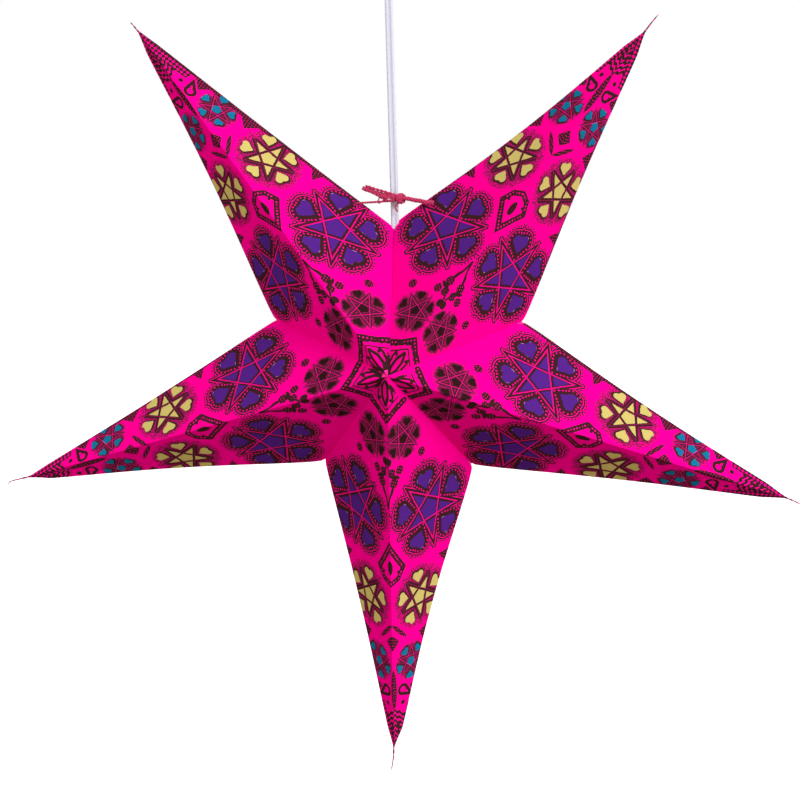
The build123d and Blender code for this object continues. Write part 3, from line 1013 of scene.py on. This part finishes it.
def spline_path(name, route, count):
    """The smooth line of a cord: an order 3 NURBS spline on its route, read back evenly spaced."""
    curve = bpy.data.curves.new(name, "CURVE")
    curve.dimensions = "3D"
    curve.resolution_u = 24
    spline = curve.splines.new("NURBS")
    spline.points.add(len(route) - 1)
    spline.points.foreach_set("co", np.array([(*p, 1) for p in route], float).ravel())
    spline.order_u = 3
    spline.use_endpoint_u = True
    holder = bpy.data.objects.new(name, curve)
    mesh = bpy.data.meshes.new_from_object(holder)
    points = np.empty(len(mesh.vertices) * 3)
    mesh.vertices.foreach_get("co", points)
    points = points.reshape(-1, 3)
    bpy.data.meshes.remove(mesh)
    bpy.data.objects.remove(holder)
    bpy.data.curves.remove(curve)
    along = distances(points)
    even = np.linspace(0, along[-1], count)
    path = np.stack([np.interp(even, along, points[:, k]) for k in range(3)], -1)
    return path, float(along[-1])


# Operators


class PAPER_STAR_OT_camera(bpy.types.Operator):
    """Place the camera as it stood in front of the star"""

    bl_idname = "paper_star.camera"
    bl_label = "Camera"

    def execute(self, context):
        data = bpy.data.cameras.new("camera")
        data.lens = context.scene.paper_star_studio.lens
        data.sensor_width = 36
        data.clip_start, data.clip_end = 0.05, 30
        camera = bpy.data.objects.new("camera", data)
        look = Vector(CAMERA_VIEW).normalized()
        up = Vector(CAMERA_UP).normalized()
        right = look.cross(up).normalized()
        turn = Matrix((right, right.cross(look), -look)).transposed().to_4x4()
        camera.matrix_world = Matrix.Translation(CAMERA_PLACE) @ turn
        context.scene.collection.objects.link(camera)
        context.scene.camera = camera
        return {"FINISHED"}


def lead_sleeve():
    """Clear sleeve over two tinned cores: painted pink-grey shade and reflection of the card along its left
    edge, cool tin on the other side, softly glossy.
    """
    lamp = bpy.context.scene.paper_star_lamp
    board = Board("lead_sleeve")
    _, around, _ = board.parts(board.layout("wind"))
    # painted shade and pink reflection of the card along the lead's left edge
    pink_reflected_shade = (abs(around.math("FRACT") - 0.5) - 0.035).within(0.04)
    cool = (abs((around + 0.2).math("FRACT") - 0.5) - 0.05).within(0.05)
    lines = board.noise(board.here(), 900.0, 2.0, 0.5)
    colour = board.mix(cool * 0.5, lamp.sleeve, screen(136, 140, 162))
    colour = board.mix(pink_reflected_shade * 0.75, colour, screen(158, 136, 152))
    colour = board.mix(lines.times_plus(0.35, -0.05), colour, screen(202, 206, 214))
    normal = board.bump(lines, 0.15, 0.0001)
    rough = lines * 0.1 + 0.27
    coat = {"Coat_Weight": 0.3, "Coat_Roughness": 0.15}
    return board.finish(Base_Color=colour, Roughness=rough, Normal=normal, IOR=1.5, **coat)


class PAPER_STAR_OT_lead(bpy.types.Operator):
    """Make the flat two-core lead that the lantern hangs on"""

    bl_idname = "paper_star.lead"
    bl_label = "Lead"

    def execute(self, context):
        lamp = context.scene.paper_star_lamp
        path, length = spline_path("lead_route", LEAD_ROUTE, 40)
        # profile: two round cores side by side, never thinner than the web between them
        turn = np.linspace(0, math.tau, 56, endpoint=False)
        radius = lamp.lead_thickness / 2
        pitch = lamp.lead_width / 2 - radius
        x = np.cos(turn) * lamp.lead_width / 2
        core = np.sqrt(np.clip(radius**2 - (np.abs(x) - pitch) ** 2, 0, None))
        inner = np.abs(x) < pitch + radius * 0.5
        y = np.sign(np.sin(turn)) * np.where(inner, np.maximum(core, lamp.lead_web / 2), core)
        ring = np.stack([x, y, np.zeros_like(x)], -1)
        points = path[:, None] + ring[None]
        along = np.linspace(0, length, len(path))
        layout = grid_map(along[:, None], turn[None, :] / math.tau)
        faces = capped(len(path), len(turn))
        piece = mesh_piece("lead_cord", points, faces, lead_sleeve(), layout, "wind")
        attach(piece, "lamp")
        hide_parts("lead")
        return {"FINISHED"}


def cotton():
    """Twisted cotton: slanting yarn grooves from the map along and round each strand, darkened with painted
    shade, with fuzz.
    """
    tie = bpy.context.scene.paper_star_tie
    board = Board("cotton")
    along, around, _ = board.parts(board.layout("wind"))
    groove = ((along * 5200.0) + (around * 6500.0)).math("SINE").times_plus(0.5, 0.5)
    fuzz = board.noise(board.here(), 2600.0, 3.0, 0.6)
    # painted shade in the grooves between the twisted yarns
    colour = board.mix(groove * 0.6, tie.dark, tie.colour)
    colour = board.mix(fuzz.times_plus(0.7, -0.1), colour, shaded(tie.colour, 1.35))
    normal = board.bump(groove * 0.7 + fuzz * 0.6, 0.6, 0.0003)
    return board.finish(Base_Color=colour, Roughness=fuzz * 0.1 + 0.82, Normal=normal, Sheen_Weight=0.25)


class PAPER_STAR_OT_tie(bpy.types.Operator):
    """Make the cotton strings, their knot and the loose ends"""

    bl_idname = "paper_star.tie"
    bl_label = "Cotton tie"

    def execute(self, context):
        tie = context.scene.paper_star_tie
        material = cotton()
        # knot: a few turns of yarn wrapped round the strings, leaning to one side
        wrap = np.linspace(0, 1, 90)
        turn = math.tau * KNOT_TURNS * wrap
        radius = KNOT_RADIUS + KNOT_SWELLING * np.sin(math.pi * wrap)
        x = KNOT_MIDDLE[0] + KNOT_LENGTH * (wrap - 0.5) + KNOT_LEAN * np.cos(turn)
        y = KNOT_MIDDLE[1] + radius * np.cos(turn)
        z = KNOT_MIDDLE[2] + radius * KNOT_TALL_SHARE * np.sin(turn)
        line = np.stack([x, y, z], -1)
        knot = yarns("tie_knot_wraps", line, 3, KNOT_YARN, KNOT_YARN_SPREAD, 5, material)
        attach(knot, "top_right_front_upper")
        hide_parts("tie_knot")
        for number, (radius, route) in enumerate(LOOSE_STRANDS, 1):
            route = [(x, y, z) for (x, z), y in zip(route, LOOSE_FRONT)]
            path, _ = spline_path("loose", route, 40)
            piece = yarns(f"tie_loose_{number}", path, 2, radius, radius * 0.9, 4, material)
            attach(piece, "top_right_front_upper")
        path, length = spline_path("bundle_route", BUNDLE_ROUTE, 120)
        count, radius, spread, turns = BUNDLE_YARNS
        bundle = yarns("tie_bundle", path, count, tie.bundle * radius, tie.bundle * spread, turns, material)
        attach(bundle, "top_right_front_upper")
        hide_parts("tie_string_right", "tie_tail")
        path, length = spline_path("string_route", LEFT_STRING_ROUTE, 80)
        count, radius, spread, turns = STRING_YARNS
        string = yarns("tie_string", path, count, tie.string * radius, tie.string * spread, turns, material)
        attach(string, "top_left_front_upper")
        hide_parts("tie_string_left")
        return {"FINISHED"}


class PAPER_STAR_OT_card(bpy.types.Operator):
    """Make the twenty printed card panels and the thin ends past the tips"""

    bl_idname = "paper_star.card"
    bl_label = "Card panels"

    def execute(self, context):
        card = context.scene.paper_star_card
        materials = [printed_card(), plain_card()]
        for arm in ARMS:
            for side in (-1, 1):
                for face in (-1, 1):
                    piece, name, corners = make_panel(arm, side, face, materials)
                    if face < 0 and (ARMS[arm], side) in SEAM_BENDS:
                        tip, middle, corner, normal = corners
                        along = unit(tip - corner)
                        across = square_to(along, middle - corner)
                        cut_hole(piece, corner + along * HOLE_ALONG + across * HOLE_IN, normal)
                    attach(piece, name)
                    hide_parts(name)
            self.thin_end(arm, card, materials[0])
        return {"FINISHED"}

    def thin_end(self, arm, card, material):
        """The card past a tip: a flat strip, thicker than one card, that narrows along a smooth line."""
        tip = panel_corners(arm, 1, -1, card.hand_fold)[0]
        start = tip - outward(ARMS[arm] * STEP) * THIN_END_OVERLAP
        ends = [tip + np.array([x, 0, z]) for x, z in WISPS[arm]]
        path, length = spline_path("thin_end", [start, tip - 0.3 * (tip - start), *ends], 36)
        share = np.linspace(0, 1, len(path))
        along, _, _ = sweep_frames(path)
        flat = unit(np.cross(along, [0, 1, 0]))
        ragged = 1 + 0.18 * np.sin(31 * share + ARMS[arm]) + 0.1 * np.sin(67 * share)
        width = card.wisp_width * (1 - 0.62 * share) * ragged / 2
        width = width * np.clip((1 - share) * 14, 0.12, 1)
        turn = np.linspace(0, math.tau, 10, endpoint=False)
        thick = THIN_END_HALF_THICKNESS + THIN_END_HALF_MORE * (1 - share)
        points = path[:, None] + (width[:, None] * np.cos(turn))[..., None] * flat[:, None]
        points = points + (thick[:, None] * np.sin(turn))[..., None] * np.array([0, 1, 0])
        print_run = THIN_END_PRINT[0] + length * share[:, None]
        layout = grid_map(print_run, THIN_END_PRINT[1] + 0 * turn[None])
        piece = mesh_piece(f"card_{arm}_end", points, capped(len(path), len(turn)), material, layout)
        body = "bottom_front_right" if arm == "bottom" else f"{arm}_front_lower"
        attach(piece, body)


def dress(name, material):
    """Gives a CAD node's object a finish."""
    piece = bpy.data.objects[name]
    piece.data.materials.clear()
    piece.data.materials.append(material)


def make_flap(node, place, far_end, strip, body, material):
    """A card strip glued inside a panel along its edge from the inner corner.

    A point is (1-t) times the near side plus t times the far one, each a line between two corners of the
    strip, and both its faces lie a card's thickness apart, inside the panel."""
    card = bpy.context.scene.paper_star_card
    arm, side, face = place
    tip, middle, corner = panel_corners(arm, side, face, card.hand_fold)
    end, other = (tip, middle) if far_end == "tip" else (middle, tip)
    along = unit(end - corner)
    across = square_to(along, other - corner)
    inward = -panel_normal(tip, middle, corner, face)
    span, reach = strip
    whole = np.linalg.norm(end - corner)
    start, stop = span[0], whole - span[1]
    rows, columns = FLAP_GRID
    s = np.linspace(0, 1, rows)[:, None]
    t = np.linspace(0, 1, columns)[None, :]
    first, last = start + FLAP_SLANT * t, stop - FLAP_SLANT * t
    length = first + (last - first) * s
    width = reach[0] + (reach[1] - reach[0]) * t + FLAP_WAVE * np.sin(9 * s + ARMS[arm]) * t
    outer = corner + length[..., None] * along + width[..., None] * across
    outer = outer + FLAP_GAP * inward
    if far_end == "tip":
        a = 1 - length / whole
        height = np.linalg.norm(np.cross(middle - tip, corner - tip)) / np.linalg.norm(middle - tip)
        outer = outer + edge_bend(arm, side, tip, corner, a, np.clip(1 - width / (a * height), 0, 1))
        lift = CLOSING_LIFT * np.clip((a - CLOSING_FROM_SHARE) / CLOSING_OVER_SHARE, 0, 1)
        outer = outer + (lift - CLOSING_NEARER)[..., None] * inward
    inner = outer + card.thickness * inward
    count = rows * columns
    faces = grid_faces(rows, columns)
    far_side = np.arange(2 * columns - 1, count, columns)
    far_row = np.arange(count - 2, count - columns - 1, -1)
    near_side = np.arange(count - 2 * columns, 0, -columns)
    rim = np.concatenate([np.arange(columns), far_side, far_row, near_side])
    after = np.roll(rim, -1)
    walls = np.stack([rim, after, after + count, rim + count], -1)
    everything = np.concatenate([faces, faces[:, ::-1] + count, walls])
    piece = mesh_piece(f"card_{node}", [outer, inner], everything, material, smooth=False)
    shape = bmesh.new()
    shape.from_mesh(piece.data)
    bmesh.ops.recalc_face_normals(shape, faces=shape.faces)
    shape.to_mesh(piece.data)
    shape.free()
    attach(piece, body)
    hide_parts(node)


class PAPER_STAR_OT_flaps(bpy.types.Operator):
    """Make the glued flaps inside the star"""

    bl_idname = "paper_star.flaps"
    bl_label = "Glued flaps"

    def execute(self, context):
        material = bpy.data.materials["plain_card"]
        for arm, number in ARMS.items():
            lower = -1 if number > 0 else 1
            half = "right" if arm == "bottom" else "lower"
            if number:
                for face, where in ((-1, "front"), (1, "back")):
                    node, body = f"{arm}_{where}_join_flap", f"{arm}_{where}_lower"
                    make_flap(node, (arm, lower, face), "middle", JOIN_FLAP, body, material)
            node, body = f"{arm}_closing_flap", f"{arm}_back_{half}"
            make_flap(node, (arm, lower, 1), "tip", CLOSING_FLAP, body, material)
        for face, where in ((-1, "front"), (1, "back")):
            node, body = f"seam_{where}_flap", f"top_left_{where}_upper"
            make_flap(node, ("top_left", -1, face), "middle", SEAM_FLAP, body, material)
        return {"FINISHED"}


def moulded(name, colour, rough):
    """Moulded plastic: faint flow clouds, fine grain and dull scuffs."""
    board = Board(name)
    here = board.here()
    cloud = board.noise(here, 60.0, 3.0, 0.5)
    grain = board.noise(here, 2200.0, 2.0, 0.5)
    mixed = board.mix(cloud.times_plus(1.5, -0.45), colour, shaded(colour, 0.88))
    scuff = (board.noise(here, 240.0, 5.0, 0.7, distortion=1.5) - 0.6).math("MULTIPLY", 6.0, clamp=True)
    mixed = board.mix(scuff * 0.3, mixed, shaded(colour, 0.8))
    normal = board.bump(grain * 0.4 + cloud, 0.12, 0.0003)
    return board.finish(Base_Color=mixed, Roughness=scuff * 0.2 + (grain * 0.08 + rough), Normal=normal)


def metal(name, colour, rough):
    """Turned metal: fine rings across the height, a few dull spots."""
    board = Board(name)
    here = board.here()
    _, _, height = board.parts(here)
    rings = (height * 9000.0).math("SINE")
    spots = board.noise(here, 300.0, 4.0, 0.6)
    mixed = board.mix(spots.times_plus(1.6, -0.5), colour, shaded(colour, 0.7))
    normal = board.bump(rings * 0.3 + spots, 0.2, 0.0002)
    return board.finish(Base_Color=mixed, Metallic=1.0, Roughness=spots * 0.2 + rough, Normal=normal)


def opal():
    """Opal glass: milky white, a little warmer in clouds, smooth and glossy."""
    board = Board("opal_glass")
    cloud = board.noise(board.here(), 45.0, 3.0, 0.5)
    mixed = board.mix(cloud.times_plus(1.2, -0.3), screen(244, 243, 238), screen(236, 231, 218))
    normal = board.bump(cloud, 0.05, 0.0005)
    return board.finish(Base_Color=mixed, Roughness=cloud * 0.06 + 0.12, Normal=normal, Coat_Weight=0.4)


class PAPER_STAR_OT_lamp(bpy.types.Operator):
    """Finish the lampholder, the bulb and the ceiling rose"""

    bl_idname = "paper_star.lamp"
    bl_label = "Lampholder, bulb and ceiling rose"

    def execute(self, context):
        plastic = moulded("white_plastic", tuple(context.scene.paper_star_lamp.plastic), 0.3)
        for name in ("holder_cap", "holder_sleeve", "rose_base", "rose_cover", "cord_grip"):
            dress(name, plastic)
        matt = moulded("matt_plastic", screen(214, 210, 196), 0.55)
        for name in ("contact_block", "terminal_block"):
            dress(name, matt)
        brass = metal("brass", screen(214, 178, 108), 0.28)
        for name in ("screw_shell", "centre_contact", "bulb_contact"):
            dress(name, brass)
        dress("bulb_cap", metal("cap_metal", screen(206, 206, 204), 0.25))
        dress("bulb_globe", opal())
        return {"FINISHED"}


class PAPER_STAR_OT_studio(bpy.types.Operator):
    """Set the white studio: a floor far below, light from the upper right and all round"""

    bl_idname = "paper_star.studio"
    bl_label = "Studio"

    def execute(self, context):
        studio = context.scene.paper_star_studio
        board = Board("floor")
        cloud = board.noise(board.here(), 1.5, 2.0, 0.5)
        colour = board.mix(cloud.times_plus(0.4, 0.3), FLOOR_GREY, FLOOR_PALE)
        seen = board.add("ShaderNodeLightPath")
        bounce = tuple(studio.floor_bounce * share for share in BOUNCE_TINT)
        colour = board.mix(seen, bounce, colour)
        glow = board.mix(seen, (0, 0, 0), FLOOR_GLOW)
        material = board.finish(Base_Color=colour, Roughness=0.9, Emission_Color=glow, Emission_Strength=1.0)
        ends = (-FLOOR_REACH, FLOOR_REACH)
        points = [(x, y, -studio.floor_drop) for y in ends for x in ends]
        floor = mesh_piece("floor", points, [[0, 1, 3, 2]], material)
        lamp = bpy.data.lights.new("key", "SUN")
        lamp.energy = studio.key
        lamp.color = KEY_COLOUR
        lamp.angle = KEY_WIDTH
        key = bpy.data.objects.new("key", lamp)
        key.rotation_mode = "QUATERNION"
        key.rotation_quaternion = Vector(KEY_DIRECTION).to_track_quat("-Z", "Y")
        context.scene.collection.objects.link(key)
        sky = Board("studio", "worlds")
        context.scene.world = sky.owner
        rays = sky.add("ShaderNodeLightPath").socket.node.outputs
        seen = Wire(sky, rays["Is Camera Ray"]).most(
            Wire(sky, rays["Is Glossy Ray"]), Wire(sky, rays["Is Transmission Ray"])
        )
        across, _, height = sky.parts(sky.add("ShaderNodeTexCoord", None, None, 0))
        shade = abs(height) * (studio.fill_above - studio.fill) + studio.fill
        shade = shade + across * across * studio.fill_sides
        strength = shade + seen * (1.0 - shade)
        tint = sky.mix(seen, SKY_TINT, (1.0, 1.0, 1.0))
        light = sky.add("ShaderNodeBackground", None, {"Color": tint, "Strength": strength})
        sky.close(light)
        context.scene.view_settings.view_transform = "Standard"
        return {"FINISHED"}


GROUPS = {
    "paper_star_card": PaperStarCard,
    "paper_star_print": PaperStarPrint,
    "paper_star_tie": PaperStarTie,
    "paper_star_lamp": PaperStarLamp,
    "paper_star_studio": PaperStarStudio,
}
STEPS = (
    PAPER_STAR_OT_camera,
    PAPER_STAR_OT_lead,
    PAPER_STAR_OT_tie,
    PAPER_STAR_OT_card,
    PAPER_STAR_OT_flaps,
    PAPER_STAR_OT_lamp,
    PAPER_STAR_OT_studio,
)


class PAPER_STAR_PT_sidebar(bpy.types.Panel):
    """Sizes, colours and steps of the paper star"""

    bl_label = "Paper star"
    bl_idname = "PAPER_STAR_PT_sidebar"
    bl_space_type = "VIEW_3D"
    bl_region_type = "UI"
    bl_category = "Paper star"

    def draw(self, context):
        for step in STEPS:
            self.layout.operator(step.bl_idname)
        for name, group in GROUPS.items():
            box = self.layout.box()
            for key in group.__annotations__:
                box.prop(getattr(context.scene, name), key)


def register():
    for group in GROUPS.values():
        bpy.utils.register_class(group)
    for name, group in GROUPS.items():
        setattr(bpy.types.Scene, name, PointerProperty(type=group))
    for step in STEPS:
        bpy.utils.register_class(step)
    bpy.utils.register_class(PAPER_STAR_PT_sidebar)


def unregister():
    bpy.utils.unregister_class(PAPER_STAR_PT_sidebar)
    for step in reversed(STEPS):
        bpy.utils.unregister_class(step)
    for name in GROUPS:
        delattr(bpy.types.Scene, name)
    for group in reversed(list(GROUPS.values())):
        bpy.utils.unregister_class(group)


def main():
    """Builds everything in order."""
    register()
    bpy.ops.paper_star.camera()
    bpy.ops.paper_star.lead()
    bpy.ops.paper_star.tie()
    bpy.ops.paper_star.card()
    bpy.ops.paper_star.flaps()
    bpy.ops.paper_star.lamp()
    bpy.ops.paper_star.studio()


if __name__ == "__main__":
    main()
